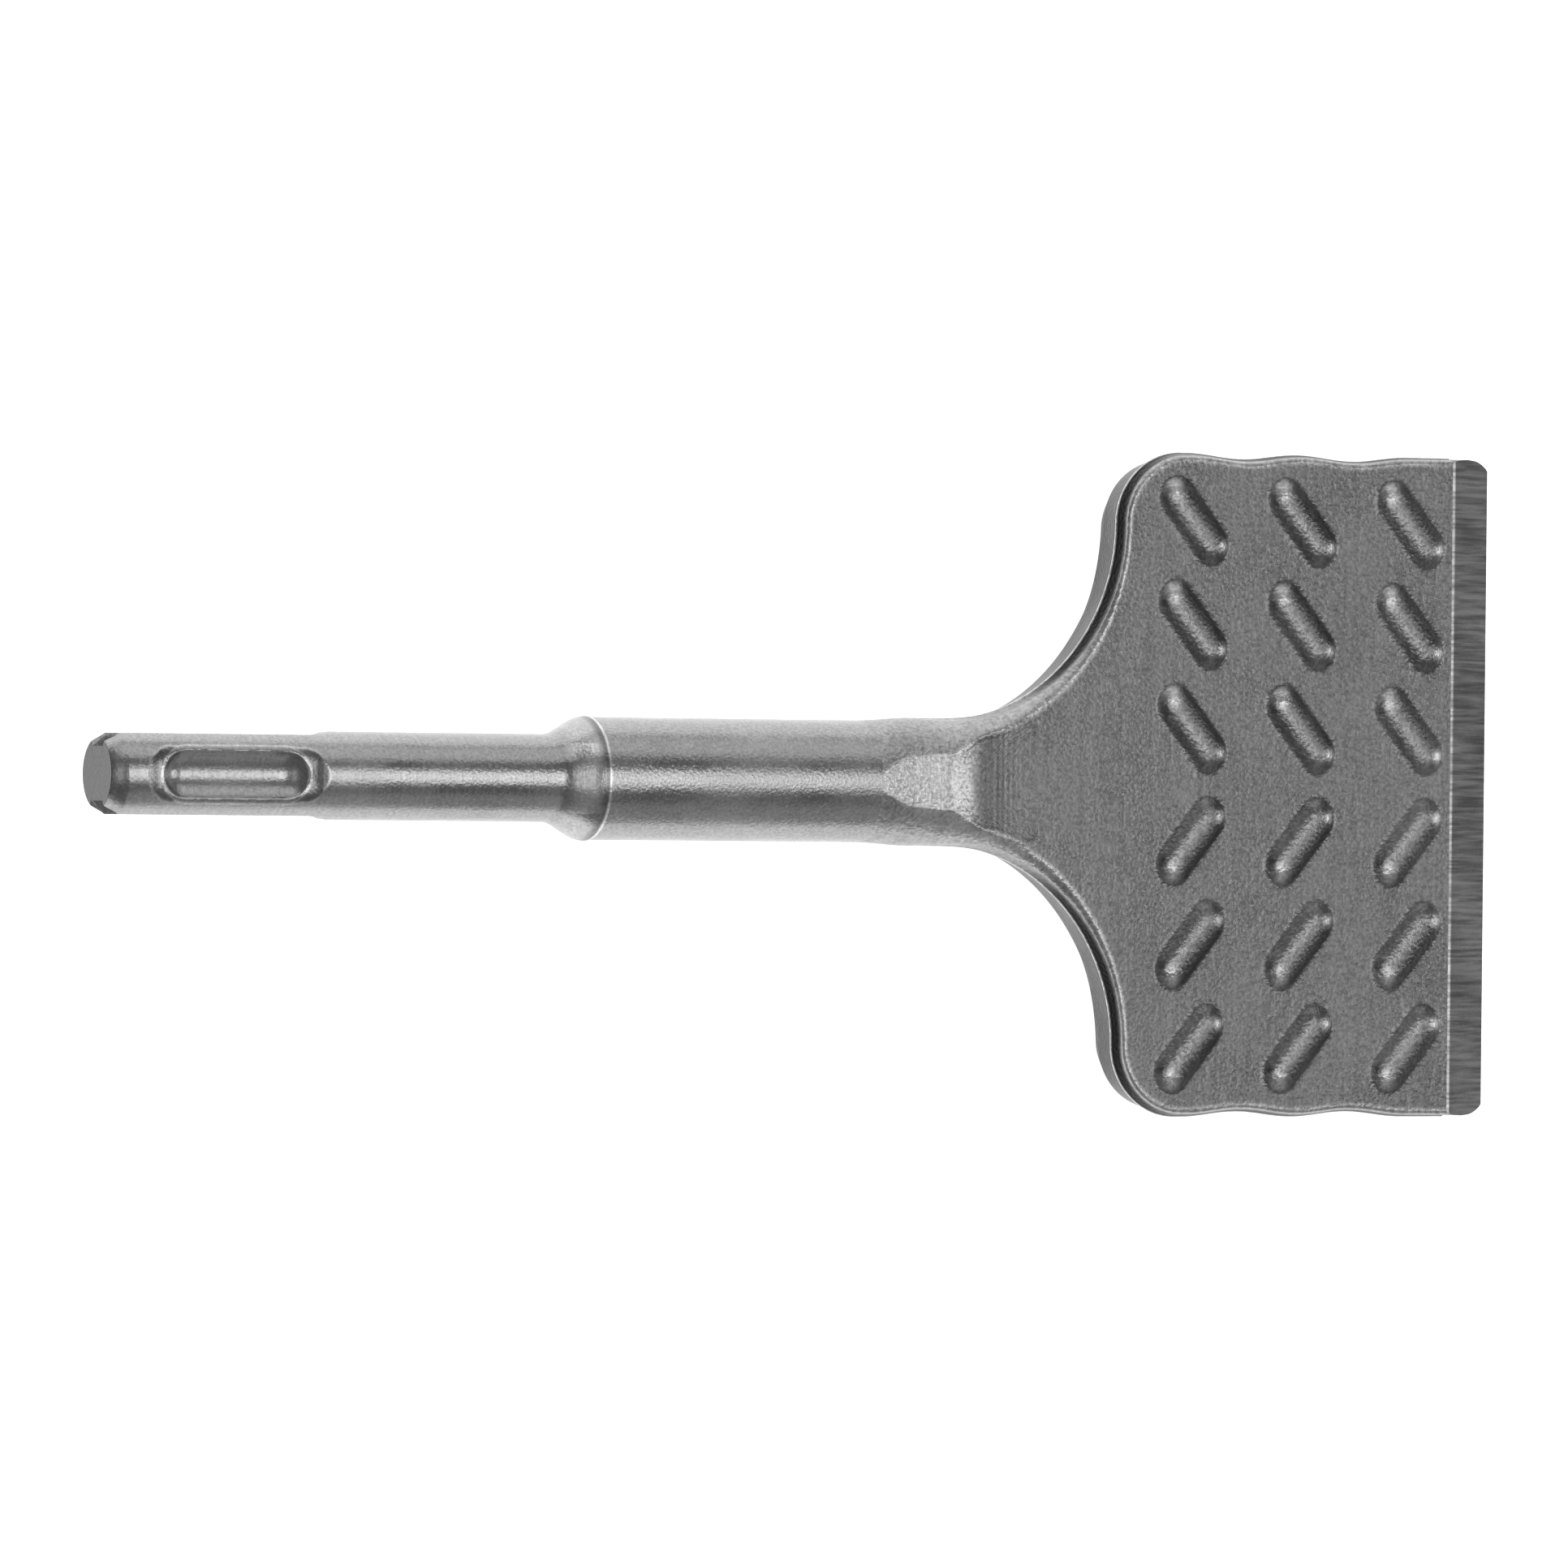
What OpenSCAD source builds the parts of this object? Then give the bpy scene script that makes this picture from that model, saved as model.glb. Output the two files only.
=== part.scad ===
// Wide scaling chisel with a grooved quick-change shank: one forging of tool steel,
// drawn as its named zones, which meet face to face.
// X runs from the striking face to the cutting edge, Y runs across the blade, and Z is
// square to the blade, up on the beaded side. The origin is the centre of the striking face.

/* [Grooved shank end] */
// Diameter of the full-round neck that the chuck guides
neck_d = 10; // [9:0.1:12]
// How much thinner the grooved end is than the neck
end_relief = 0.1; // [0.05:0.05:0.3]
// Length of the grooved end, its taper to the neck included
grooved_l = 28.3; // [24:0.1:34]
// Length of the taper from the grooved end up to the neck
lead_in_l = 0.7; // [0.6:0.1:1.5]
// Diameter of the flat striking face
striking_d = 8.2; // [7:0.1:8.8]
// Length of the bevel round the striking face
striking_bevel_l = 1.7; // [0.5:0.1:3]

/* [Drive and lock grooves] */
// Width of an open drive groove at its floor
drive_floor_w = 3; // [2.5:0.1:3.6]
// Width of an open drive groove at its mouth
drive_mouth_w = 3.7; // [3.2:0.1:4.4]
// Depth of an open drive groove
drive_depth = 1.9; // [1.4:0.1:2.3]
// Length over which an open drive groove runs out to the surface
drive_runout_l = 2.5; // [1.5:0.1:4]
// Radius of the locking ball that runs in a closed groove
ball_r = 3.5; // [3:0.1:4.2]
// Depth of a closed lock groove
lock_depth = 2.2; // [1.6:0.1:2.5]
// Gap from the striking face to a closed lock groove
lock_start = 6; // [5:0.1:8]
// Length of a closed lock groove at the surface
lock_l = 18.4; // [14:0.1:22]

/* [Neck, collar and body] */
// Length of the full-round neck
neck_l = 26.6; // [20:0.1:40]
// Length of the collar, which swells from the neck to its sharp edge
collar_l = 5.4; // [4:0.1:10]
// How far the collar's sharp edge stands proud of the round body
collar_lip = 0.1; // [0.05:0.05:0.4]
// Length of the step from the collar's edge down to the body
lip_l = 0.3; // [0.2:0.1:0.6]
// Diameter of the round body
body_d = 14; // [12:0.1:18]
// Length of the round body, up to where the forged ramp starts
body_l = 34.15; // [25:0.05:60]

/* [Forged root] */
// Length of the sloping ramp that takes the round body down to the blade
ramp_l = 17.85; // [14:0.05:24]
// How much wider than the body the forging has grown on each side at the start of the flare
root_swell = 0.35; // [0.1:0.05:0.8]
// Distance from the start of the ramp to the start of the flare
flare_start = 9.25; // [6:0.05:12]
// Radius of the flare, seen from above
flare_r = 23.3; // [18:0.1:30]
// Draft angle of the flare's walls, from the parting line to a face
flare_draft = 12; // [5:1:16]

/* [Blade] */
// Width of the blade at its widest
blade_w = 76.9; // [64:0.1:96]
// Length of the plate, from its shoulders to the start of the cutting bevel
plate_l = 44.15; // [36:0.05:60]
// Radius of the blade's shoulders
shoulder_r = 8.4; // [6:0.1:11]
// Height of the beaded face above the axis, at the shoulders
top_at_shoulder = 3.65; // [3:0.05:4.5]
// Height of the beaded face above the axis, at the start of the bevel
top_at_bevel = 1.8; // [1.4:0.05:2.4]
// Depth of the back face below the axis, at the shoulders
back_at_shoulder = 4.5; // [3.5:0.05:5]
// Depth of the back face below the axis, at the cutting edge
back_at_edge = 1.5; // [0.8:0.05:2]
// Depth of the dips in the side edges between the columns of beads
edge_wave = 0.6; // [0:0.1:1.5]

/* [Beads] */
// Columns of beads from the shoulders to the bevel
bead_columns = 3; // [1:1:3]
// Pairs of bead rows, mirrored about the centre line
bead_row_pairs = 3; // [1:1:3]
// Distance from the shoulders to the first column
first_column = 9.25; // [8:0.05:11]
// Distance between columns
column_pitch = 14.6; // [13:0.1:16]
// Distance from the centre line to the first row of beads
first_row = 6.5; // [5.5:0.1:7.5]
// Distance between rows
row_pitch = 12; // [10:0.1:12.5]
// Length of a bead
bead_l = 11.8; // [8:0.1:12.5]
// Width of a bead
bead_w = 4.8; // [3.5:0.1:6]
// Height of a bead above the face
bead_h = 0.9; // [0.5:0.1:1.3]
// Slant of a bead from the chisel's axis, in degrees
bead_slant = 50; // [35:1:60]

/* [Cutting edge] */
// Length of the ground bevel
bevel_l = 6.3; // [4:0.1:10]
// Thickness of the cutting edge itself
edge_land = 0.15; // [0.1:0.05:0.5]
// Radius to which the two ends of the edge are relieved, seen from above
edge_relief_r = 4; // [2:0.1:8]
// Length of the relieved stretch at each end of the edge
edge_relief_l = 2.6; // [1:0.1:4]

/* [Hidden] */

neck_r = neck_d / 2;
end_r = neck_r - end_relief / 2;
body_r = body_d / 2;
lip_r = body_r + collar_lip;
root_r = body_r + root_swell;

// Stations along X
neck_x = grooved_l;
collar_x = neck_x + neck_l;
lip_x = collar_x + collar_l;
body_x = lip_x + lip_l;
root_x = body_x + body_l;
ramp_end_x = root_x + ramp_l;
flare_x = root_x + flare_start;
shoulder_x = flare_x + flare_r;
bevel_x = shoulder_x + plate_l;
edge_x = bevel_x + bevel_l;

// Half widths across Y
half_w = blade_w / 2;
shoulder_y = half_w - shoulder_r;
flare_y = body_r + flare_r;
root_end_y = min(flare_y, shoulder_y);

// Slopes of the two faces, and their heights at a station
top_slope = (top_at_bevel - top_at_shoulder) / plate_l;
back_slope = (back_at_shoulder - back_at_edge) / (plate_l + bevel_l);
function top_z(x) = top_at_shoulder + top_slope * (x - shoulder_x);
function back_z(x) = -back_at_shoulder + back_slope * (x - shoulder_x);

// Radius of the circle whose segment is a bead's cross section
bead_r = (pow(bead_w / 2, 2) + pow(bead_h, 2)) / (2 * bead_h);
last_column = first_column + (bead_columns - 1) * column_pitch;

past = 1;           // how far a cutter runs past what it cuts
tall = 3 * body_d;  // taller than anything on the chisel
curve_steps = 24;   // steps along a curve that is drawn point by point
$fn = 96;

// Turns an outline of [x, radius] points about the chisel's axis.
module turned(outline) {
    rotate([0, 90, 0]) rotate_extrude()
        polygon([[0, outline[0][0]],
                 for (p = outline) [p[1], p[0]],
                 [0, outline[len(outline) - 1][0]]]);
}

// Extrudes an outline of [x, z] points right across the blade.
module across(outline) {
    rotate([90, 0, 0]) linear_extrude(blade_w + 2 * past, center = true) polygon(outline);
}

// An open, flat-floored groove in the +Y side, which runs out before the neck.
module drive_groove() {
    floor_y = end_r - drive_depth;
    floor_end = grooved_l - lead_in_l - drive_runout_l;
    widen = (drive_mouth_w - drive_floor_w) / 2 / drive_depth;
    top_y = end_r + past;
    top_w = drive_floor_w / 2 + widen * (drive_depth + past);
    intersection() {
        linear_extrude(drive_mouth_w + 2 * past, center = true)
            polygon([[-past, floor_y], [floor_end, floor_y],
                     [floor_end + drive_runout_l, end_r],
                     [floor_end + drive_runout_l, top_y], [-past, top_y]]);
        translate([-past, 0, 0]) rotate([90, 0, 90])
            linear_extrude(grooved_l + past)
                polygon([[floor_y, -drive_floor_w / 2], [top_y, -top_w],
                         [top_y, top_w], [floor_y, drive_floor_w / 2]]);
    }
}

// A closed groove in the +Z side, as the locking ball would sweep it.
module lock_groove() {
    centre_z = end_r - lock_depth + ball_r;
    end_reach = sqrt(pow(ball_r, 2) - pow(centre_z - end_r, 2));
    run = lock_l - 2 * end_reach;
    translate([lock_start + end_reach, 0, centre_z]) {
        sphere(ball_r);
        rotate([0, 90, 0]) cylinder(h = run, r = ball_r);
        translate([run, 0, 0]) sphere(ball_r);
    }
}

module grooved_shank_end() {
    color([0.62, 0.62, 0.62]) difference() {
        turned([[0, striking_d / 2], [striking_bevel_l, end_r],
                [grooved_l - lead_in_l, end_r], [grooved_l, neck_r]]);
        for (side = [0, 1]) {
            mirror([0, side, 0]) drive_groove();
            mirror([0, 0, side]) lock_groove();
        }
    }
}

module shank_neck() {
    color([0.66, 0.66, 0.66])
        translate([neck_x, 0, 0]) rotate([0, 90, 0]) cylinder(h = neck_l, r = neck_r);
}

// Swells from the neck in one even S, up to a sharp lip, and steps down to the body.
module collar() {
    color([0.6, 0.6, 0.6]) turned([
        for (i = [0:curve_steps])
            [collar_x + collar_l * i / curve_steps,
             neck_r + (lip_r - neck_r) * (1 - cos(180 * i / curve_steps)) / 2],
        [body_x, body_r]]);
}

module round_body() {
    color([0.58, 0.58, 0.58])
        translate([body_x, 0, 0]) rotate([0, 90, 0]) cylinder(h = body_l, r = body_r);
}

// What the flare's die leaves out beside the root: round in plan, with draft from the
// parting line to both faces.
module flare_cutter() {
    face_r = flare_r + body_d * tan(flare_draft);
    translate([flare_x, flare_y, 0]) rotate_extrude() polygon([
        [0, -body_d], [face_r, -body_d], [flare_r, 0], [face_r, body_d], [0, body_d]]);
}

// The round body flattens along two ramps while the flare spreads it to the shoulders.
module forged_root() {
    ramps = [[root_x, body_r], [ramp_end_x, top_z(ramp_end_x)],
             [shoulder_x, top_z(shoulder_x)], [shoulder_x, back_z(shoulder_x)],
             [ramp_end_x, back_z(ramp_end_x)], [root_x, -body_r]];
    color([0.55, 0.55, 0.55]) intersection() {
        across(ramps);
        union() {
            translate([root_x, 0, 0]) rotate([0, 90, 0])
                cylinder(h = flare_start, r1 = body_r, r2 = root_r);
            translate([flare_x, 0, 0]) rotate([0, 90, 0])
                cylinder(h = ramp_l - flare_start, r1 = root_r, r2 = root_r);
            difference() {
                translate([flare_x, -root_end_y, -tall / 2])
                    cube([flare_r, 2 * root_end_y, tall]);
                for (side = [0, 1]) mirror([0, side, 0]) flare_cutter();
            }
        }
    }
}

// Half width of the plate at a station: full at each column of beads, less between them.
function side_y(x) =
    let (along = min(max(x - shoulder_x - first_column, 0), last_column - first_column))
    half_w - edge_wave * (1 - cos(360 * along / column_pitch)) / 2;

module plate_plan() {
    straight_x = shoulder_x + shoulder_r;
    stations = [for (i = [0:2 * curve_steps])
        straight_x + (bevel_x - straight_x) * i / (2 * curve_steps)];
    polygon([for (x = stations) [x, side_y(x)],
             for (i = [len(stations) - 1:-1:0]) [stations[i], -side_y(stations[i])]]);
    translate([shoulder_x, -shoulder_y]) square([shoulder_r + past, 2 * shoulder_y]);
    for (side = [-1, 1]) translate([straight_x, side * shoulder_y]) circle(shoulder_r);
}

// A low bead with round ends, its middle on the beaded face.
module bead() {
    run = bead_l - bead_w;
    translate([0, 0, bead_h - bead_r]) rotate([0, 90, 0]) {
        translate([0, 0, -run / 2]) {
            cylinder(h = run, r = bead_r);
            sphere(bead_r);
        }
        translate([0, 0, run / 2]) sphere(bead_r);
    }
}

// The beads slant in towards the centre line as they near the cutting edge.
module beads() {
    for (column = [0:bead_columns - 1], row = [0:bead_row_pairs - 1], side = [0, 1]) {
        x = shoulder_x + first_column + column * column_pitch;
        mirror([0, side, 0]) translate([x, first_row + row * row_pitch, top_z(x)])
            rotate([0, atan(-top_slope), 0]) rotate([0, 0, -bead_slant]) bead();
    }
}

module blade_plate() {
    color([0.5, 0.5, 0.5]) {
        intersection() {
            linear_extrude(tall, center = true) plate_plan();
            across([[shoulder_x, top_z(shoulder_x)], [bevel_x, top_z(bevel_x)],
                    [bevel_x, back_z(bevel_x)], [shoulder_x, back_z(shoulder_x)]]);
        }
        // A bead's circle is cut off at the parting plane, inside the plate
        intersection() {
            translate([shoulder_x, -half_w, 0]) cube([plate_l, blade_w, tall]);
            beads();
        }
    }
}

// One bevel, ground on the beaded side only.
module cutting_edge() {
    relief_x = edge_x - edge_relief_l;
    relief_y = side_y(bevel_x) - edge_relief_r;
    color([0.7, 0.7, 0.7]) intersection() {
        across([[bevel_x, top_z(bevel_x)], [edge_x, back_z(edge_x) + edge_land],
                [edge_x, back_z(edge_x)], [bevel_x, back_z(bevel_x)]]);
        linear_extrude(tall, center = true) {
            translate([bevel_x, -side_y(bevel_x)])
                square([relief_x - bevel_x, 2 * side_y(bevel_x)]);
            translate([bevel_x, -relief_y]) square([bevel_l, 2 * relief_y]);
            for (side = [-1, 1]) translate([relief_x, side * relief_y]) circle(edge_relief_r);
        }
    }
}

grooved_shank_end();
shank_neck();
collar();
round_body();
forged_root();
blade_plate();
cutting_edge();
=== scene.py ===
# %% [markdown]
# A wide scaling chisel bit for a rotary hammer: one steel forging with a grooved shank, a round
# body and a broad blade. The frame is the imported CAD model. Everything here is made around it, in
# metres, so this first cell loads it and measures the stations that every piece is built between.

# %% Load the frame
import math

import bmesh
import bpy
import numpy as np
from mathutils import Matrix, Vector


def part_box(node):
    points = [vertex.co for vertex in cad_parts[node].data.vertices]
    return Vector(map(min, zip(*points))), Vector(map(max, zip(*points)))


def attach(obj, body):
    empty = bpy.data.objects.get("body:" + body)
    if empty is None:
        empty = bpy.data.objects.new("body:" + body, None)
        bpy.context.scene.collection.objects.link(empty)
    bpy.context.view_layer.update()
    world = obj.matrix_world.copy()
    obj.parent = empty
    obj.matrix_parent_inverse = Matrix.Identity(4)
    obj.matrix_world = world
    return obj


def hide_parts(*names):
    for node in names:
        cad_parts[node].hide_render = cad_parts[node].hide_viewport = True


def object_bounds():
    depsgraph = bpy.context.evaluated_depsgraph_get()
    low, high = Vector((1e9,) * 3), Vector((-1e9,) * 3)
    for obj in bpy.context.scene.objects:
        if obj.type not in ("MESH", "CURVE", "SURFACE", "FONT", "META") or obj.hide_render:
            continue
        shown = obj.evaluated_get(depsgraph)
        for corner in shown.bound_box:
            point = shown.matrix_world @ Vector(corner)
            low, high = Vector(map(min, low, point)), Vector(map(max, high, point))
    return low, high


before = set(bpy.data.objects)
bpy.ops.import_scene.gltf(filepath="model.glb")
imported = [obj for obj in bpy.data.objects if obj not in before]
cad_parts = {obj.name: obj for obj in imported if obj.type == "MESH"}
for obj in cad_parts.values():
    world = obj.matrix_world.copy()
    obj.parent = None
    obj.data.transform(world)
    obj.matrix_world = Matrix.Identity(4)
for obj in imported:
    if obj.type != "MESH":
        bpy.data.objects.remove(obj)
cad_box = [list(corner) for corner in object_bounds()]
print("CAD box:", cad_box)

# %% Stations along the chisel
mm = 0.001
neck_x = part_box("shank_neck")[0].x / mm
collar_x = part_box("collar")[0].x / mm
body_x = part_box("round_body")[0].x / mm
root_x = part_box("forged_root")[0].x / mm
shoulder_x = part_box("blade_plate")[0].x / mm
bevel_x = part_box("cutting_edge")[0].x / mm
edge_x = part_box("cutting_edge")[1].x / mm
neck_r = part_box("shank_neck")[1].z / mm
end_r = neck_r - 0.05
lip_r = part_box("collar")[1].z / mm
body_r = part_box("round_body")[1].z / mm
half_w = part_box("blade_plate")[1].y / mm
print("stations in mm:", [round(x, 2) for x in (neck_x, collar_x, body_x, root_x, shoulder_x, bevel_x, edge_x)])

# %% [markdown]
# The camera looks down on the beaded face, tipped towards the striking end. A long lens from well
# back keeps the shank and the blade at nearly the same scale, as catalogue pictures do.

# %% Camera
tip = math.radians(26.4)
roll = math.radians(0.6)
towards_camera = Vector((-math.sin(tip), 0, math.cos(tip)))
level_right = Vector((math.cos(tip), 0, math.sin(tip)))
level_up = Vector((0, 1, 0))
right = math.cos(roll) * level_right + math.sin(roll) * level_up
up = -math.sin(roll) * level_right + math.cos(roll) * level_up
camera = bpy.data.objects.new("camera", bpy.data.cameras.new("camera"))
camera.data.lens = 332.4
camera.data.sensor_width = 36
place = Matrix((right, up, towards_camera)).transposed().to_4x4()
place.translation = Vector((0.0856, -0.0004, 0)) + 1.6535 * towards_camera
camera.matrix_world = place
bpy.context.scene.collection.objects.link(camera)
bpy.context.scene.camera = camera
print("camera at", [round(c, 3) for c in place.translation])

# %% [markdown]
# Bare steel has almost no colour of its own: what we see is the studio reflected in it. So the
# lights come before the pieces. One broad panel leans over the cutting edge and gives the long
# highlight, panels at both sides light the flanks, and dark gaps between them draw the edges.

# %% Lights
def panel(name, direction, distance, along, across, brightness):
    """A soft panel facing the chisel: its size along and across the chisel, and how bright it looks."""
    light = bpy.data.lights.new(name, "AREA")
    light.shape = "RECTANGLE"
    light.size = along
    light.size_y = across
    light.energy = brightness * math.pi * along * across
    lamp = bpy.data.objects.new(name, light)
    aim = Vector(direction).normalized()
    beside = Vector((0, 1, 0)) if abs(aim.y) < 0.5 else Vector((0, 0, 1))
    first = beside.cross(aim).normalized()
    turn = Matrix((first, aim.cross(first), aim)).transposed().to_4x4()
    turn.translation = Vector((0.1, 0, 0)) + aim * distance
    lamp.matrix_world = turn
    bpy.context.scene.collection.objects.link(lamp)
    print("panel", name, "power", round(light.energy, 2))


def lean(degrees):
    """A direction that leans from straight up towards the cutting edge."""
    a = math.radians(degrees)
    return (math.sin(a), 0, math.cos(a))


def flank(degrees, side, ahead):
    """A direction that leans from straight up out to one side, and a little ahead."""
    a = math.radians(degrees)
    return (ahead, side * 0.9 * math.sin(a), 0.9 * math.cos(a))


panel("overhead", lean(12), 0.9, 0.66, 0.46, 2.3)
panel("low_front", lean(60), 1.0, 0.46, 0.28, 3.2)
panel("side_plus", flank(64, 1, 0.1), 1.0, 1.4, 0.75, 0.9)
panel("side_minus", flank(66, -1, 0.44), 1.0, 1.0, 0.7, 0.3)
panel("shank_end", lean(-36), 1.0, 0.26, 0.7, 0.8)

world = bpy.data.worlds.new("studio")
world.use_nodes = True
world.node_tree.nodes["Background"].inputs["Color"].default_value = (1, 1, 1, 1)
world.node_tree.nodes["Background"].inputs["Strength"].default_value = 0.2
bpy.context.scene.world = world
bpy.context.scene.view_settings.view_transform = "Standard"

# %% [markdown]
# The floor is plain and pale. It touches the lowest point of the chisel, so the bit lies on it.
# A little light of its own keeps it an even white, like the lit table of a product studio.

# %% Floor
bm = bmesh.new()
bmesh.ops.create_grid(bm, x_segments=1, y_segments=1, size=3.0)
bmesh.ops.translate(bm, verts=bm.verts, vec=(0, 0, cad_box[0][2]))
floor_mesh = bpy.data.meshes.new("floor")
bm.to_mesh(floor_mesh)
bm.free()
floor = bpy.data.objects.new("floor", floor_mesh)
bpy.context.scene.collection.objects.link(floor)
pale = bpy.data.materials.new("pale_floor")
pale.use_nodes = True
shader = pale.node_tree.nodes["Principled BSDF"]
shader.inputs["Base Color"].default_value = (0.86, 0.86, 0.86, 1)
shader.inputs["Roughness"].default_value = 0.9
shader.inputs["Emission Color"].default_value = (1, 1, 1, 1)
shader.inputs["Emission Strength"].default_value = 1.0
floor_mesh.materials.append(pale)

# %% [markdown]
# Every zone of the forging is a skin wrapped round the axis. It can be made from a flat grid:
# one direction of the grid runs along the chisel and the other runs round it, each vertex is moved
# to its place, and the seam and the end poles are merged. That gives one even, closed skin whose
# lines follow the shape.

# %% Wrap a grid into a closed skin
def wrap(name, points, nodes, shades):
    """Moves a grid's vertices to points[row][column] in mm, merges the seam, and makes the piece.
    The shades, one a vertex, are painted light and shade: how much brighter or darker the base colour is made there."""
    rows, columns = points.shape[:2]
    bm = bmesh.new()
    bmesh.ops.create_grid(bm, x_segments=rows - 1, y_segments=columns - 1, size=0.5)
    shade = bm.verts.layers.float.new("painted_light_and_shade")
    spots = (points * mm).tolist()
    for v in bm.verts:
        row = round((v.co.x + 0.5) * (rows - 1))
        column = round((v.co.y + 0.5) * (columns - 1))
        v.co = spots[row][column]
        v[shade] = float(shades[row][column])
    bmesh.ops.remove_doubles(bm, verts=bm.verts, dist=2e-6)
    bmesh.ops.dissolve_degenerate(bm, edges=bm.edges, dist=1e-7)
    bmesh.ops.recalc_face_normals(bm, faces=bm.faces)
    open_edges = sum(1 for e in bm.edges if not e.is_manifold)
    for face in bm.faces:
        face.smooth = True
    mesh = bpy.data.meshes.new(name)
    bm.to_mesh(mesh)
    triangles = sum(len(p.vertices) - 2 for p in mesh.polygons)
    bm.free()
    mesh.set_sharp_from_angle(angle=math.radians(38))
    piece = bpy.data.objects.new(name, mesh)
    bpy.context.scene.collection.objects.link(piece)
    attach(piece, "root")
    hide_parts(*nodes)
    print(name, "triangles", triangles, "open edges", open_edges)
    return piece


def ease(a, b, x):
    """0 below a, 1 above b, and a smooth rise between."""
    t = np.clip((x - a) / (b - a), 0, 1)
    return t * t * (3 - 2 * t)


def soft_min(a, b, width):
    """The lower of two heights, with the corner between them rounded."""
    h = np.clip(0.5 + 0.5 * (b - a) / width, 0, 1)
    return b + (a - b) * h - width * h * (1 - h)

# %% [markdown]
# The shank is turned from bar, then milled. Two open grooves take the drive keys of the hammer's
# chuck, and two closed grooves take its locking balls, with a shallow ramp at each end. Here the
# turned outline gives each ring its radius, and the grooves then push the surface inwards.

# %% Turned outline of the shank
striking_r = 4.1
stations = [0, 0, 0.12, 1.7, 1.95]
radii = [0, striking_r - 0.12, striking_r, end_r - 0.03, end_r]
for x in np.linspace(2.1, neck_x - 0.8, 176):
    stations.append(x)
    radii.append(end_r)
for x in np.linspace(neck_x, collar_x, 24):
    stations.append(x)
    radii.append(neck_r)
lip_x = body_x - 0.3
for t in np.linspace(0, 1, 30)[1:]:
    stations.append(collar_x + (lip_x - collar_x) * t)
    radii.append(neck_r + (lip_r - neck_r) * (1 - math.cos(math.pi * t)) / 2)
stations += [lip_x + 0.06, lip_x + 0.14, body_x - 0.04, body_x, body_x]
radii += [lip_r, lip_r, body_r, body_r, 0]
stations = np.array(stations)[:, None]
radii = np.array(radii)[:, None]
around = 288
turn = np.linspace(0, 2 * math.pi, around + 1)[None, :]
x = stations + 0 * turn
y = radii * np.sin(turn)
z = radii * np.cos(turn)
print("shank rings:", len(stations))

# %% Closed grooves for the locking balls
ball_r, lock_depth, lock_start, lock_end = 3.5, 2.2, 6.0, 24.4
ball_z = end_r - lock_depth + ball_r
reach = math.sqrt(ball_r ** 2 - (ball_z - end_r) ** 2)
near, far = lock_start + reach, lock_end - reach
off = np.hypot(x - np.clip(x, near, far), y)
trough = ball_z - np.sqrt(np.maximum(ball_r ** 2 - off ** 2, 0)) + 9 * (off > ball_r)
outer_r, outer_start, outer_end = 3.15, 4.1, 26.4
wander = 0.06 * np.sin(x * 2.1) + 0.04 * np.sin(x * 5.3 + 1)
outer_off = np.hypot(x - np.clip(x, outer_start + outer_r, outer_end - outer_r), y)
ramp = np.maximum(outer_r + wander - outer_off, 0) * 0.3
height = np.abs(z)
cut = soft_min(height - ramp, trough, 0.12)
on_grooves = (radii > 4.5) & (x < neck_x) & (height > 1)
z = np.where(on_grooves, np.sign(z) * np.minimum(height, cut), z)

# %% Open grooves for the drive keys
drive_depth, floor_w, mouth_w, runout_end, runout_l = 1.9, 3.0, 3.7, 27.6, 2.5
floor_y = end_r - drive_depth + drive_depth * np.clip((x - runout_end + runout_l) / runout_l, 0, 1)
side = np.abs(y)
half_slot = floor_w / 2 + (mouth_w - floor_w) / 2
inside = 1 - ease(half_slot - 0.28, half_slot, np.abs(z))
milled = side - np.maximum(side - floor_y, 0) * inside
open_here = (x < runout_end) & (side > 0.5)
y = np.where(open_here, np.sign(y) * np.minimum(side, milled), y)
# painted shade: the striking face is made darker
striking_face_shade = 1 - 0.7 * (x < 0.05)
# painted highlights along the edges of the ball grooves, and painted shade on their end ramps
outer_line = 0.5 * np.exp(-((outer_r + wander - outer_off) / 0.12) ** 2) - 0.4 * ease(0.03, 0.1, ramp)
inner_line = 0.6 * np.exp(-((off - reach) / 0.12) ** 2)
groove_light_and_shade = (outer_line * (off > reach) + inner_line) * on_grooves
# painted highlight: the top of the collar's swell is made lighter, most in the middle
swell = (0.25 + 0.8 * (np.abs(y) < 4) * (z > 0)) * ease(collar_x + 0.8, collar_x + 2.6, x)
swell = swell * (1 - ease(lip_x - 2.0, lip_x - 0.2, x))
# painted highlight along the lip's edge, and painted shade just before it
lip = 0.9 * (x > lip_x - 0.02) - 0.45 * ease(lip_x - 1.2, lip_x - 0.3, x) * (x < lip_x - 0.02)
shank = wrap("shank", np.stack([x, y, z], axis=2),
             ["grooved_shank_end", "shank_neck", "collar"], striking_face_shade + groove_light_and_shade + swell + lip)

# %% [markdown]
# The body is the bar that the bit is forged from, left round. Its skin has to meet the root with
# the same ring, so that no seam shows where the two zones of the one forging meet.

# %% Round body
stations = np.concatenate([[body_x], np.linspace(body_x, root_x, 50), [root_x]])[:, None]
radii = np.concatenate([[0], np.full(50, body_r), [0]])[:, None]
turn = np.linspace(0, 2 * math.pi, 145)[None, :]
body = wrap("round_body_skin",
            np.stack([stations + 0 * turn, radii * np.sin(turn), radii * np.cos(turn)], axis=2),
            ["round_body"], np.ones((len(stations), 145)))

# %% [markdown]
# The blade starts as the round bar and is hammered flat in a die. First its outline in plan, at
# the parting line of the die: a slight swelling, a concave flare, a convex shoulder, and sides that
# dip between the columns of beads. Each outline point gets a partner on the centre line.

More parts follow.
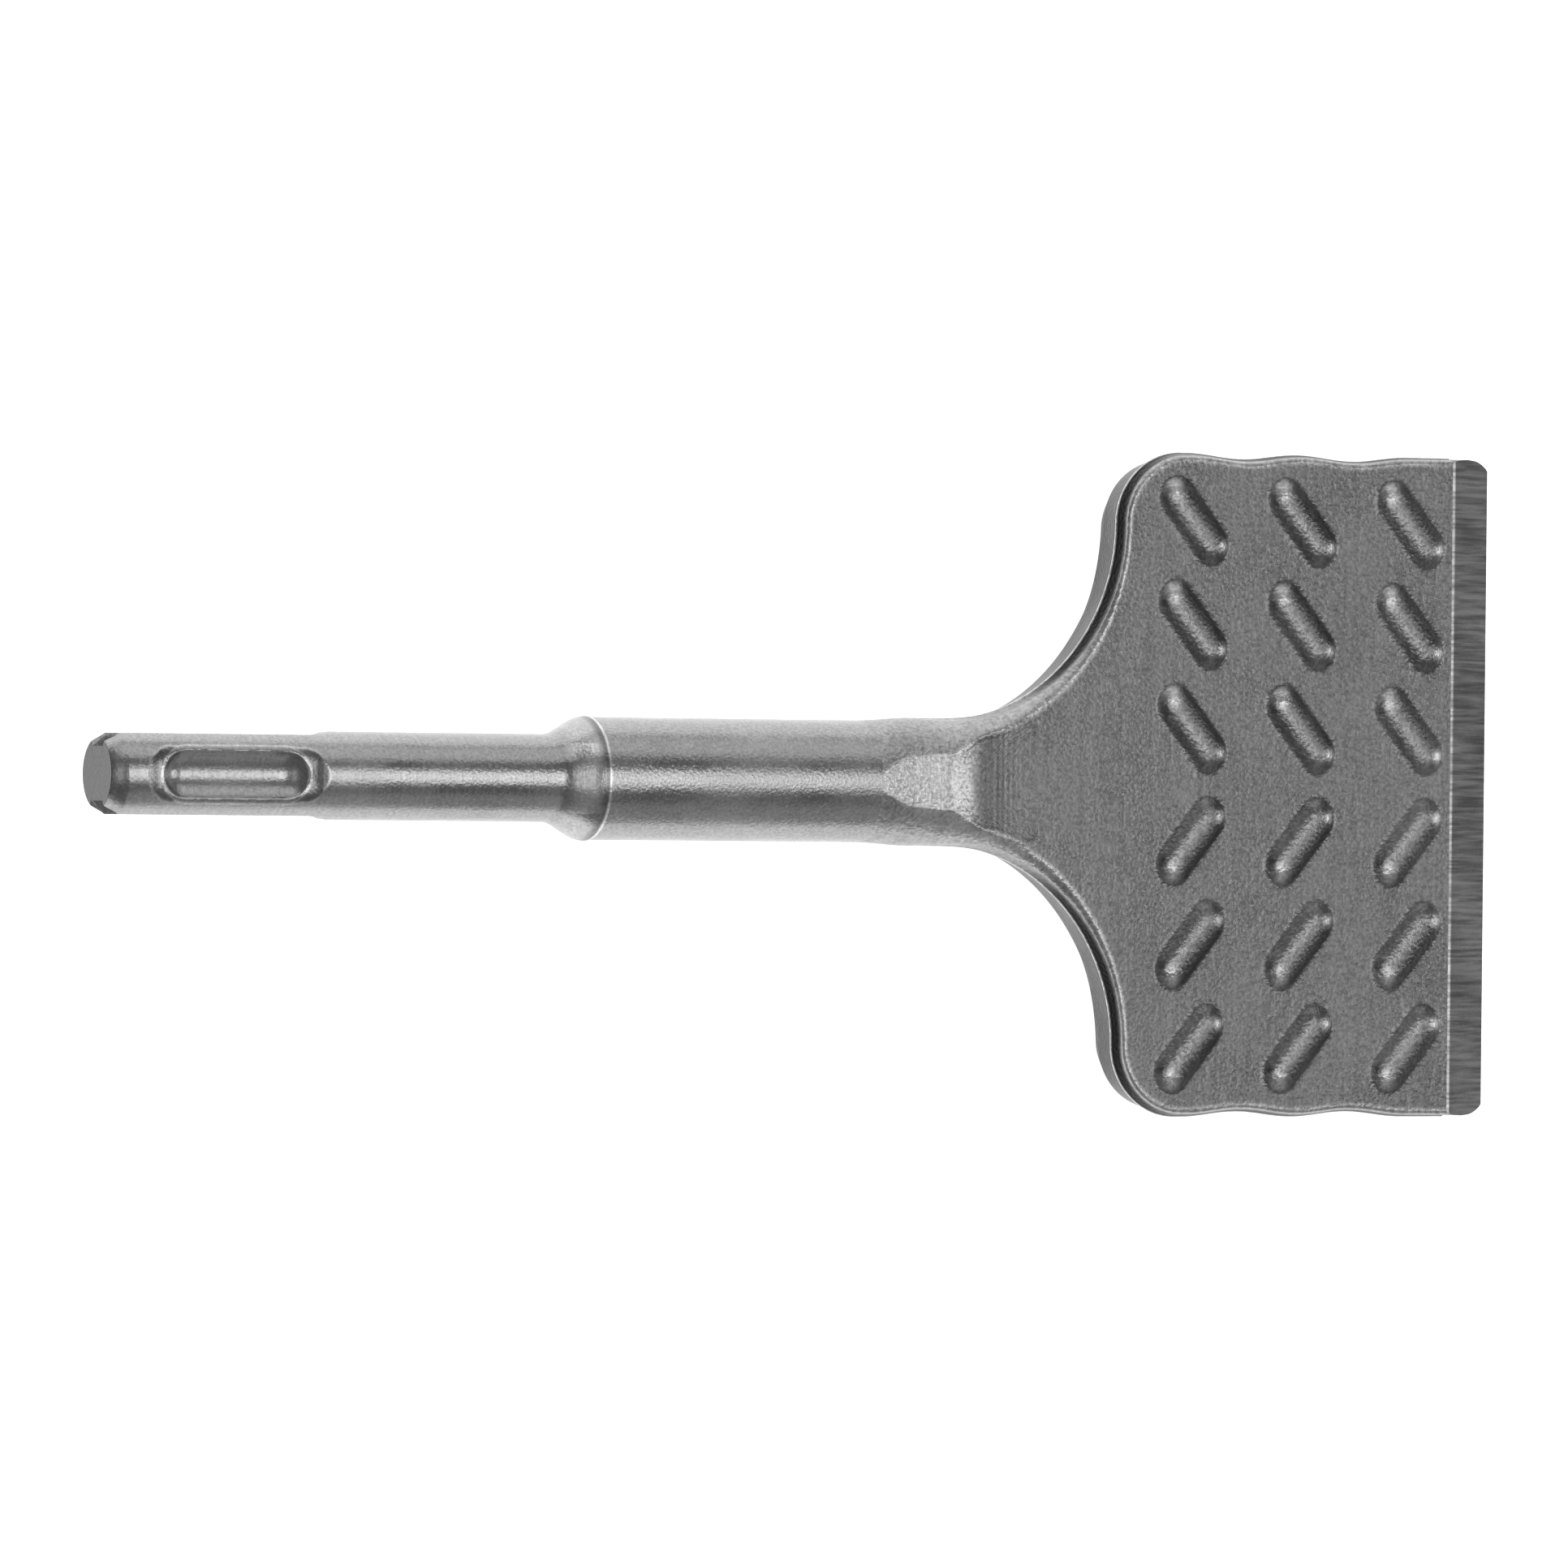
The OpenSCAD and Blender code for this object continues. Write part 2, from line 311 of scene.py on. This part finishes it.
# %% Outline of the blade in plan
flare_r, shoulder_r = 23.3, 8.4
flare_x = shoulder_x - flare_r
flash = 0.12
shoulder_y = half_w - shoulder_r
column_pitch, first_column = 14.6, shoulder_x + 9.25
last_column = first_column + 2 * column_pitch


def side_y(x):
    """Half width of the plate: full at each column of beads, less between them."""
    along = np.clip(x, first_column, last_column) - first_column
    return half_w - 0.3 * (1 - np.cos(2 * math.pi * along / column_pitch))


t = np.linspace(0, 1, 33)
outline = [np.stack([root_x + (flare_x - root_x) * t, body_r + 0.35 * ease(0, 0.7, t),
                     0 * t, 0 * t + 1], axis=1)]
t = np.linspace(0, math.pi / 2, 97)[1:]
swell = 0.35 * (1 - ease(0, 7, t * flare_r))
outline.append(np.stack([flare_x + flare_r * np.sin(t), body_r + flare_r * (1 - np.cos(t)) + swell,
                         -np.sin(t), np.cos(t)], axis=1))
t = np.linspace(0, math.pi / 2, 41)[1:]
outline.append(np.stack([shoulder_x + shoulder_r * (1 - np.cos(t)), shoulder_y + shoulder_r * np.sin(t),
                         -np.cos(t), np.sin(t)], axis=1))
sides = np.linspace(shoulder_x + shoulder_r, bevel_x, 107)[1:]
outline.append(np.stack([sides, side_y(sides), 0 * sides, 0 * sides + 1], axis=1))
bend_end = 33 + 96 + 40
outline = np.concatenate(outline)
outline[33:, 1] = np.maximum(outline[33:, 1], outline[32, 1] - 0.001)
steps = np.hypot(*np.diff(outline[32:bend_end, :2], axis=0).T)
middle = outline[:, 0].copy()
middle[32:bend_end] = flare_x + (shoulder_x + shoulder_r - flare_x) * np.concatenate(
    [[0], np.cumsum(steps)]) / steps.sum()
print("blade rings:", len(outline))

# %% [markdown]
# Then the heights. Both faces of the plate taper to the cutting edge. Nearer the shank, a flat
# facet comes down from the top of the bar and ends in a scoop, where the die's edge pressed in.

# %% Heights of the two faces
def face_z(x):
    """Height of the beaded face above the axis."""
    return 3.65 - 1.85 * (x - shoulder_x) / (bevel_x - shoulder_x)


def back_z(x):
    """Depth of the back face below the axis."""
    return 4.5 - 3.0 * (x - shoulder_x) / (edge_x - shoulder_x)


draft = math.radians(10)


def parting_z(x):
    """Height of the die's parting line above the axis, on the plate."""
    return 0.35 * face_z(x)


def facet_z(x, y):
    """The facet, its scoop, and the face beyond it, along the middle of the root."""
    along = x - y * y / 18
    knots = [root_x, root_x + 9.2, root_x + 10.6, root_x + 12.6, root_x + 14.0, root_x + 16.2,
             root_x + 18.5, root_x + 21]
    drops = [body_r, body_r - 1.39, 5.22, 4.53, 4.36, face_z(knots[5]) + 0.02,
             face_z(knots[6]), face_z(knots[7])]
    fine = np.linspace(root_x, root_x + 21, 400)
    height = np.interp(fine, knots, drops)
    kernel = np.hanning(15)
    padded = np.pad(height, 7, mode="reflect", reflect_type="odd")
    height = np.convolve(padded, kernel / kernel.sum(), mode="valid")
    lines = 0.016 * np.sin(9.0 * x) + 0.012 * np.sin(15.7 * x + 1.3) + 0.01 * np.sin(4.1 * x)
    lines = lines * ease(root_x + 13, root_x + 14, x) * (1 - ease(root_x + 18, root_x + 21, x))
    return np.where(along < root_x + 21, np.interp(along, fine, height), face_z(x)) + lines

# %% [markdown]
# A section of the blade runs in from the parting line: up the drafted wall, round the rim, and
# across the face to the middle. At the bar the same section is a quarter circle, so its wall, rim
# and flat are blended along the root.

# %% One half section, from the middle of a face out to the parting line
def half_section(ring, top, face_count, edge_count):
    """Points of one ring's half section, from the middle out: x, y, height, shade, distance in."""
    x_out, y_out, n_x, n_y = outline[ring]
    x_mid = middle[ring]
    flat = ease(root_x + 5, root_x + 17, x_mid)
    level = face_z(x_mid) if top else back_z(x_mid)
    crest = level + (body_r - level) * (1 - ease(root_x + 2, root_x + 17, x_mid))
    parting = parting_z(x_mid) * flat
    crest = crest - parting if top else crest + parting
    rim = 0.5 + 1.8 * float(1 - ease(flare_x - 2, flare_x + 22, x_mid))
    rim_x = y_out + (rim - y_out) * flat
    rim_z = crest + (min(rim, crest * 0.6) - crest) * flat
    wall = crest - rim_z
    slope = math.tan(draft)
    # plan line from the middle out to the outline, which it meets at a right angle
    reach = math.hypot(x_out - x_mid, y_out) / 3
    handle = min(reach, 4.0) if ring >= 33 else reach
    s = np.linspace(0, 1, 160)[:, None]
    ends = np.array([[x_mid, 0], [x_mid, reach], [x_out - n_x * handle, y_out - n_y * handle],
                     [x_out, y_out]])
    line = ((1 - s) ** 3 * ends[0] + 3 * (1 - s) ** 2 * s * ends[1]
            + 3 * (1 - s) * s ** 2 * ends[2] + s ** 3 * ends[3])[::-1]
    run = np.concatenate([[0], np.cumsum(np.hypot(*np.diff(line, axis=0).T))])
    # the section as distance in from the outline against height
    climb = np.linspace(0, 1, 40)
    bend = np.linspace(0, math.pi / 2, 80)[1:]
    room = run[-1]
    start = wall * slope
    rim_x = min(rim_x, room - start)
    depth = np.concatenate([start * climb, start + rim_x * (1 - np.cos(bend)), [room]])
    height = np.concatenate([wall * climb, wall + rim_z * np.sin(bend), [crest]])
    length = np.concatenate([[0], np.cumsum(np.hypot(np.diff(depth), np.diff(height)))])
    edge_zone = min(4.6, 0.42 * length[-1])
    marks = np.concatenate([np.linspace(length[-1], edge_zone, face_count + 1),
                            edge_zone * np.linspace(1, 0, edge_count + 1)[1:] ** 1.4])
    d = np.interp(marks, length, depth)
    h = np.interp(marks, length, height) / crest
    px = np.interp(d, run, line[:, 0])
    py = np.interp(d, run, line[:, 1])
    # a thin ridge of flash stands out at the parting line
    near_edge = flat * (1 - ease(0, 8, d))
    ridge = flash * near_edge * (np.exp(-(h * crest / 0.22) ** 2) - 1)
    px += n_x * ridge
    py += n_y * ridge
    low = face_z(px) - parting if top else back_z(px) + parting
    spare = crest - (level - parting if top else level + parting)
    z = h * (low + spare)
    # painted light and shade on the base colour: painted shade on the upper wall, a painted highlight along the rim
    # and at the root, and a painted bright line at the flash
    # painted highlight: the root is made brighter, fading out along the flare
    painted_root_light = 1 + 0.95 * (1 - ease(root_x + 9, root_x + 27, px))
    # painted highlight: a bright line along the flash at the parting line
    flash_highlight = np.exp(-(z / 0.13) ** 2) * ease(root_x + 12, root_x + 20, px)
    if top:
        # painted shade: the upper drafted wall is made nearly black towards the shoulder
        painted_wall_shade = ease(0.12, 0.3, z) * (1 - ease(wall - 0.1, wall + 0.4 * rim_z, z))
        painted_wall_shade = painted_wall_shade * ease(root_x + 19, root_x + 26, px)
        # painted highlight: a light band along the rounded rim
        rim_highlight = ease(start - 0.1, start + 0.25 * rim_x, d) \
            * (1 - ease(start + 0.7 * rim_x, start + 1.5 * rim_x + 0.3, d))
        shade = painted_root_light * (1 - 0.98 * painted_wall_shade) + (1.5 * rim_highlight + 3.2 * flash_highlight) * flat
        z = z + parting
    else:
        # painted shade: a dark line just under the flash, a darker lower wall, darker still towards the shoulder, with
        # a painted lighter band low on the side wall
        under_flash_shade = ease(0.08, 0.2, z) * (1 - ease(0.55, 0.8, z)) * ease(root_x + 14, root_x + 22, px)
        side_wall_light = (1 - ease(start + 0.3, start + 1.5, d)) * ease(root_x + 18, shoulder_x, px)
        shade = (0.42 + 0.3 * (painted_root_light - 1) + 0.25 * side_wall_light) * (1 - 0.9 * under_flash_shade)
        shade = shade * (1 - 0.5 * ease(root_x + 19, shoulder_x, px) * (1 - ease(shoulder_x + 6, shoulder_x + 12, px)))
        shade = shade + (painted_root_light - shade) * (1 - flat) + 3.2 * flash_highlight * flat
        z = z - parting
    return px, py, z, shade, d

# %% Beads on the face
bead_rows = (6.5, 18.5, 30.5)


def beads(x, y):
    """Height of the slanted beads above the face, and the painted light and shade laid over them."""
    raised = np.zeros_like(x)
    bead_light_and_shade = np.zeros_like(x)
    slant = math.radians(50)
    for column in range(3):
        for row in bead_rows:
            dx = x - (first_column + column * column_pitch)
            dy = np.abs(y) - row
            along = dx * math.cos(slant) - dy * math.sin(slant)
            across = dx * math.sin(slant) + dy * math.cos(slant)
            off = np.hypot(along - np.clip(along, -3.5, 3.5), across)
            tall = 0.9 if column < 2 else 0.8
            cap = tall * (1 - (off / 2.4) ** 2.4)
            raised = np.maximum(raised, -soft_min(-cap, 0 * cap, 0.2))
            # painted light and shade on each bead: a painted highlight on the crest, painted shade on the far flank,
            # painted light on the near foot, painted highlights at both ends and a painted dark spot at the near end's
            # foot
            crest = 0.5 * np.exp(-((across + 0.5) / 0.7) ** 2) * (np.abs(along) < 4.6)
            far_flank_shade = -0.3 * ease(0.2, 0.9, across)
            near_foot_light = np.where(y > 0, 0.1, 2.2) * ease(0.7, 1.5, -across) * (along > -4)
            end_highlight = 2.6 * np.exp(-((along + 4.7) / 1.0) ** 2 - ((across - 0.3) / 1.0) ** 2)
            end_glint = 3.2 * np.exp(-((along - 4.7) / 0.6) ** 2 - ((across - 1.0) / 0.6) ** 2)
            painted_dark_spot = -0.85 * np.exp(-((along + 4.4) / 0.7) ** 2 - ((across + 1.4) / 0.5) ** 2)
            bead_light_and_shade = bead_light_and_shade + (crest + far_flank_shade + near_foot_light + end_highlight + end_glint + painted_dark_spot) * (1 - ease(2.2, 2.5, off))
    return np.maximum(raised, 0), bead_light_and_shade

# %% The blade
half_top, half_back = (92, 32), (24, 22)
rings = []
shades = []
for ring in range(len(outline)):
    px, py, pz, shade, d = half_section(ring, True, *half_top)
    pocket = facet_z(px, py)
    nose = 3.1 * np.sqrt(np.clip((px - root_x) / 5.0, 0, 1))
    nose = nose + 12 * ease(flare_x + 0.5, flare_x + 9, px)
    clear = 1 - ease(flare_x - 1, flare_x + 3, px) * (1 - ease(1.4, 3.0, d))
    pressed = (1 - ease(nose, nose + 0.9, np.abs(py))) * (px < root_x + 21) * clear
    pz = np.where(pocket < pz + 0.1, pz + (pocket - pz) * pressed, pz)
    along = px - py * py / 18
    # painted highlight on the facet and its scoop, with a painted dark line at the scoop's edge
    painted_facet_light = 1 + 1.7 * (1 - ease(root_x + 11.6, root_x + 14.2, px))
    painted_facet_light = painted_facet_light - 0.7 * np.exp(-((along - root_x - 9.2) / 0.3) ** 2)
    # painted bright and dark lines across the face beyond the facet
    marks = 0.3 * np.sin(9.0 * px) * ease(root_x + 15, root_x + 16, px) * (1 - ease(root_x + 18, root_x + 19, px))
    # painted shade: a dimmer zone beyond the scoop
    dim = 0.22 * ease(root_x + 13, root_x + 14, along) * (1 - ease(root_x + 16, root_x + 18, px))
    inner = (1 - ease(nose, nose + 0.9, np.abs(py))) * (px < root_x + 30) * clear
    shade = shade + (painted_facet_light + marks - dim - shade) * inner
    bead, bead_light_and_shade = beads(px, py)
    pz = pz + bead
    shade = shade + bead_light_and_shade
    bx, by, bz, back_shade, _ = half_section(ring, False, *half_back)
    bz = -bz
    x_ring = np.concatenate([px, bx[::-1][1:], bx[1:], px[::-1][1:]])
    y_ring = np.concatenate([py, by[::-1][1:], -by[1:], -py[::-1][1:]])
    z_ring = np.concatenate([pz, bz[::-1][1:], bz[1:], pz[::-1][1:]])
    rings.append(np.stack([x_ring, y_ring, z_ring], axis=1))
    shades.append(np.concatenate([shade, back_shade[::-1][1:], back_shade[1:], shade[::-1][1:]]))
skin = np.stack(rings)
start_cap = skin[:1] * 0 + np.array([root_x, 0, 0])
end_cap = skin[:1] * 0 + np.array([bevel_x, 0, 0])
skin = np.concatenate([start_cap, skin, end_cap])
shades = np.concatenate([[shades[0]], shades, [shades[-1]]])
blade = wrap("blade", skin, ["forged_root", "blade_plate"], shades)

# %% [markdown]
# The cutting edge is ground last, by one pass across the end of the blade. The section of the
# plate carries on, and the grinding plane cuts it down to a thin land. Its two ends are relieved.

# %% Cutting edge
def edge_ring(x):
    """One section of the ground edge, from the middle of the bevel round to the middle again."""
    along = x - bevel_x
    ground = soft_min(face_z(x), face_z(bevel_x) - 0.5 * (along - 0.2), 0.16)
    low = -back_z(x)
    relief = max(x - (edge_x - 2.6), 0)
    wide = half_w - flash - (4 - math.sqrt(16 - relief ** 2))
    levels = np.linspace(ground, low, 15)
    crest, deep, parting = float(face_z(x)), float(back_z(x)), float(parting_z(x))
    rim = 0.5
    above, below = levels - parting, parting - levels
    over = np.clip((levels - (crest - rim)) / rim, 0, 1)
    top_in = np.minimum(above, crest - rim - parting) * math.tan(draft) + rim * (1 - np.sqrt(1 - over ** 2))
    under = np.clip((-levels - (deep - rim)) / rim, 0, 1)
    low_in = np.minimum(below, deep - rim + parting) * math.tan(draft) + rim * (1 - np.sqrt(1 - under ** 2))
    y_side = wide - np.where(levels > parting, top_in, low_in)
    across = np.linspace(0, 1, 90)[:-1]
    y = np.concatenate([y_side[0] * across, y_side, y_side[-1] * across[::-1]])
    z = np.concatenate([0 * across + ground, levels, 0 * across + low])
    y = np.concatenate([y, -y[::-1][1:]])
    z = np.concatenate([z, z[::-1][1:]])
    return np.stack([0 * y + x, y, z], axis=1)


runs = np.concatenate([np.linspace(bevel_x, bevel_x + 0.6, 9), np.linspace(bevel_x + 0.9, edge_x, 30)])
skin = np.stack([edge_ring(x) for x in runs])
first = skin[:1] * 0 + np.array([bevel_x, 0, 0])
last = skin[:1] * 0 + skin[-1].mean(0)
skin = np.concatenate([first, skin, last])
# painted highlight: a brighter band along the start of the bevel on the top face
bevel_highlight = 0.7 * (1 - ease(bevel_x + 0.3, bevel_x + 0.6, skin[:, :, 0])) * (skin[:, :, 2] > 0)
edge = wrap("ground_edge_skin", skin, ["cutting_edge"], 1 + bevel_highlight)

# %% [markdown]
# Steel finishes. All of them are metal, so the base colour is only a grey. What tells them apart
# is the grain: fine blasted speckle on the bar, turning rings on the shank, scale and streaks on
# the forged blade, and straight grinding marks on the edge.

# %% Steel builder
def steel(name, dark, light, rough, grain, grain_depth, streak, streak_depth, weights=(0.55, 0.2, 0.25)):
    """Bare steel from a grain, a streak and a mottle noise, all in Object coordinates."""
    material = bpy.data.materials.new(name)
    material.use_nodes = True
    new, link = material.node_tree.nodes.new, material.node_tree.links.new
    shader = material.node_tree.nodes["Principled BSDF"]
    shader.inputs["Metallic"].default_value = 1.0
    where = new("ShaderNodeTexCoord")
    heights = []
    for stretch, detail in (((grain,) * 3, 2), (streak, 3), ((110,) * 3, 4)):
        mapping = new("ShaderNodeMapping")
        mapping.inputs["Scale"].default_value = stretch
        noise = new("ShaderNodeTexNoise")
        noise.inputs["Scale"].default_value = 1.0
        noise.inputs["Detail"].default_value = detail
        link(where.outputs["Object"], mapping.inputs["Vector"])
        link(mapping.outputs["Vector"], noise.inputs["Vector"])
        heights.append(noise.outputs["Fac"])
    total = None
    for height, weight in zip(heights, weights):
        part = new("ShaderNodeMath")
        part.operation = "MULTIPLY_ADD"
        part.inputs[1].default_value = weight
        part.inputs[2].default_value = 0.0
        link(height, part.inputs[0])
        if total:
            link(total, part.inputs[2])
        total = part.outputs["Value"]
    grey = new("ShaderNodeValToRGB")
    grey.color_ramp.elements[0].position = 0.38
    grey.color_ramp.elements[0].color = (dark, dark, dark, 1)
    grey.color_ramp.elements[1].position = 0.62
    grey.color_ramp.elements[1].color = (light, light, light, 1)
    link(total, grey.inputs["Fac"])
    dull = new("ShaderNodeMapRange")
    dull.inputs["From Min"].default_value = 0.35
    dull.inputs["From Max"].default_value = 0.65
    dull.inputs["To Min"].default_value = rough - 0.04
    dull.inputs["To Max"].default_value = rough + 0.06
    link(heights[2], dull.inputs["Value"])
    link(dull.outputs["Result"], shader.inputs["Roughness"])
    normal = None
    for height, depth in ((heights[0], grain_depth), (heights[1], streak_depth)):
        bump = new("ShaderNodeBump")
        bump.inputs["Strength"].default_value = 1.0
        bump.inputs["Distance"].default_value = depth
        link(height, bump.inputs["Height"])
        if normal:
            link(normal, bump.inputs["Normal"])
        normal = bump.outputs["Normal"]
    link(normal, shader.inputs["Normal"])
    # the base colour is scaled by the painted light and shade stored on each vertex
    shade = new("ShaderNodeAttribute")
    shade.attribute_name = "painted_light_and_shade"
    toned = new("ShaderNodeVectorMath")
    toned.operation = "SCALE"
    link(grey.outputs["Color"], toned.inputs[0])
    link(shade.outputs["Fac"], toned.inputs["Scale"])
    link(toned.outputs["Vector"], shader.inputs["Base Color"])
    return material

# %% Finishes
turned = steel("turned_steel", 0.26, 0.38, 0.27, 3000, 0.00003, (2600, 60, 60), 0.00002)
rolled = steel("rolled_steel", 0.25, 0.37, 0.27, 3000, 0.00004, (700, 700, 700), 0.0,
               weights=(0.6, 0.1, 0.3))
forged = steel("forged_steel", 0.115, 0.205, 0.33, 2300, 0.00009, (1500, 90, 90), 0.00001,
               weights=(0.55, 0.2, 0.25))
ground = steel("ground_steel", 0.08, 0.19, 0.32, 2400, 0.00001, (60, 2400, 300), 0.00003,
               weights=(0.1, 0.8, 0.1))
for piece, finish in ((shank, turned), (body, rolled), (blade, forged), (edge, ground)):
    piece.data.materials.append(finish)
    print(piece.name, "has", finish.name)
